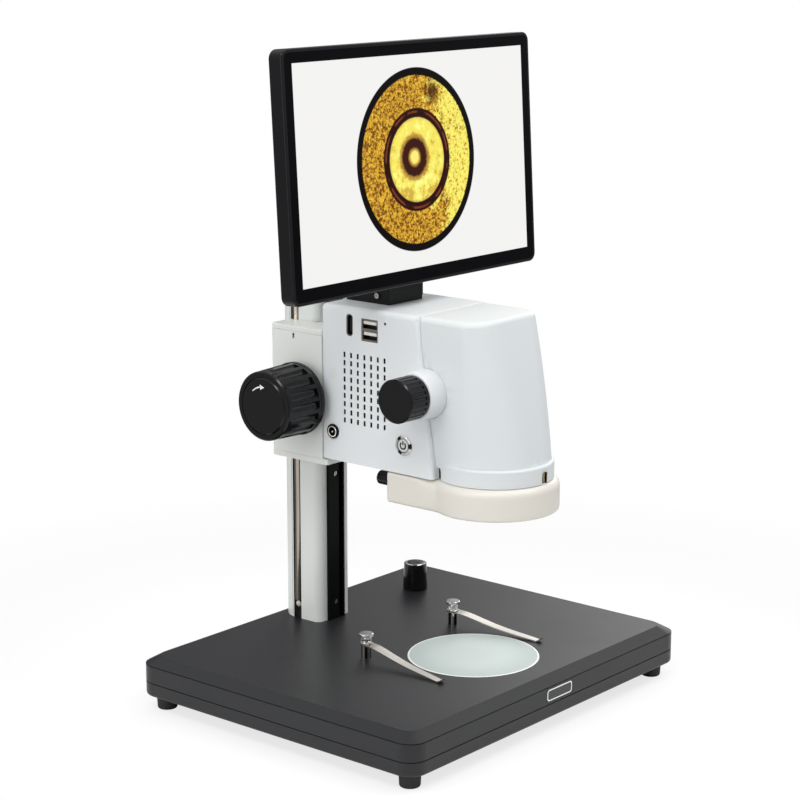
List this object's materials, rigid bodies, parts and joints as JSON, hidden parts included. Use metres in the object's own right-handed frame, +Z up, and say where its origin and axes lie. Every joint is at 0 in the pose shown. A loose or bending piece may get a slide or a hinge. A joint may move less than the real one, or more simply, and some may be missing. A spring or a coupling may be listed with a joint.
{
  "type": "digital microscope",
  "caption": "Digital microscope with a tilting screen on a rack-focus column, a zoom head with a ring light, and a lit stage with spring clips.",
  "frame": {"origin": "centre of the base's footprint, at the height of the soles of the feet", "axes": "+Z up; the user sits on the -Y side; the column stands on the +Y side; the connector panel faces -X"},
  "size_m": [0.312, 0.2571, 0.4749],
  "materials": {
    "base_paint": "semi-matte black powder coat with a fine grain",
    "foot_rubber": "matte black rubber",
    "steel": "ground bright steel",
    "spring_steel": "polished spring steel",
    "bright_chrome": "mirror chrome",
    "frosted_glass": "sandblasted glass",
    "board_green": "green circuit board",
    "trim_black": "fine-grained black",
    "strip_black": "black drawn strip",
    "column_paint": "smooth pale grey coat",
    "carriage_paint": "smooth pale grey coat",
    "housing_white": "satin moulded pale grey-white",
    "lamp_cream": "satin moulded cream",
    "lamp_milky": "milky",
    "knob_black": "satin moulded black",
    "bush_brass": "turned brass",
    "port_steel": "stamped bright steel",
    "button_white": "satin moulded white",
    "lens_black": "black anodised",
    "lens_glass": "coated optical glass",
    "screen_black": "satin black",
    "screen_glass": "gloss black glass"
  },
  "bodies": {
    "base": {"base_top_cover": "base_paint", "base_bottom_cover": "base_paint", "rubber_feet": "foot_rubber", "base_screws": "steel", "stage_plate": "frosted_glass", "stage_lamp_board": "board_green", "clip_posts": "bright_chrome", "clip_screws": "bright_chrome", "badge_plate": "trim_black", "dimmer_control": "trim_black", "column": "column_paint", "column_strip": "strip_black", "focus_rack": "strip_black", "guide_rods": "steel", "column_screws": "steel", "column_cap": "trim_black", "column_bolts": "steel"},
    "stage_dimmer": {"stage_dimmer_knob": "knob_black", "stage_dimmer_ring": "bright_chrome"},
    "left_clip": {"left_clip_blade": "spring_steel"},
    "right_clip": {"right_clip_blade": "spring_steel"},
    "carriage": {"carriage_block": "carriage_paint", "carriage_top_plate": "carriage_paint", "carriage_bottom_plate": "carriage_paint", "plate_screws": "steel", "guide_shoes": "bush_brass", "shaft_bushes": "bush_brass", "head_housing": "housing_white", "head_cover": "housing_white", "cover_screws": "bush_brass", "head_base_plate": "housing_white", "main_board": "board_green", "hdmi_port": "port_steel", "usb_port": "port_steel", "power_jack": "trim_black", "switch_bezel": "bright_chrome", "lens_tube": "lens_black", "objective_lens": "lens_glass", "camera_module": "lens_black", "ring_light_housing": "lamp_cream", "ring_light_cover": "lamp_cream", "ring_light_diffuser": "lamp_milky", "ring_light_board": "board_green", "hinge_box": "trim_black", "hinge_pin": "steel"},
    "focus_drive": {"focus_pinion_shaft": "steel", "focus_knobs": "knob_black", "knob_caps": "knob_black"},
    "zoom_drive": {"zoom_pinion_shaft": "steel", "zoom_knobs": "knob_black"},
    "zoom_lens": {"zoom_lens_group": "lens_black"},
    "power_switch": {"power_button": "button_white"},
    "ring_dimmer": {"ring_light_knob": "knob_black"},
    "monitor": {"monitor_arm": "trim_black", "monitor_frame": "screen_black", "monitor_glass": "screen_glass", "lcd_panel": "screen_glass", "monitor_board": "board_green", "monitor_back_cover": "screen_black", "monitor_screws": "steel"}
  },
  "joints": [
    {"name": "focus_slide", "type": "slide", "parent": "base", "child": "carriage", "axis": [0, 0, 1], "range_m": [-0.085, 0.06]},
    {"name": "focus_turn", "type": "hinge", "parent": "carriage", "child": "focus_drive", "pos_m": [0, 0.0705, 0.219], "axis": [1, 0, 0], "range_deg": [-345, 488]},
    {"name": "zoom_turn", "type": "hinge", "parent": "carriage", "child": "zoom_drive", "pos_m": [0, -0.043, 0.237], "axis": [1, 0, 0], "range_deg": [-120, 114]},
    {"name": "zoom_slide", "type": "slide", "parent": "carriage", "child": "zoom_lens", "axis": [0, 0, 1], "range_m": [-0.012, 0.013]},
    {"name": "monitor_tilt", "type": "hinge", "parent": "carriage", "child": "monitor", "pos_m": [0, 0.0182, 0.2961], "axis": [1, 0, 0], "range_deg": [-12, 20]},
    {"name": "power_press", "type": "slide", "parent": "carriage", "child": "power_switch", "axis": [1, 0, 0], "range_m": [0, 0.0008], "stiffness_N_per_m": 1500},
    {"name": "ring_dimmer_turn", "type": "hinge", "parent": "carriage", "child": "ring_dimmer", "pos_m": [-0.034, -0.007, 0.1692], "axis": [0, 1, 0], "range_deg": [0, 300]},
    {"name": "stage_dimmer_turn", "type": "hinge", "parent": "base", "child": "stage_dimmer", "pos_m": [0.0965, 0.079, 0.05], "axis": [0, 0, -1], "range_deg": [0, 300]},
    {"name": "left_clip_turn", "type": "hinge", "parent": "base", "child": "left_clip", "pos_m": [-0.053, 0.0005, 0.05], "axis": [0, 0, 1], "range_deg": [-60, 45]},
    {"name": "right_clip_turn", "type": "hinge", "parent": "base", "child": "right_clip", "pos_m": [0.046, 0.0005, 0.05], "axis": [0, 0, 1], "range_deg": [-45, 60]}
  ],
  "couplings": [
    {"joint": "focus_turn", "follows": "focus_slide", "rad_per_m": -100},
    {"joint": "zoom_slide", "follows": "zoom_turn", "m_per_rad": -0.006}
  ]
}
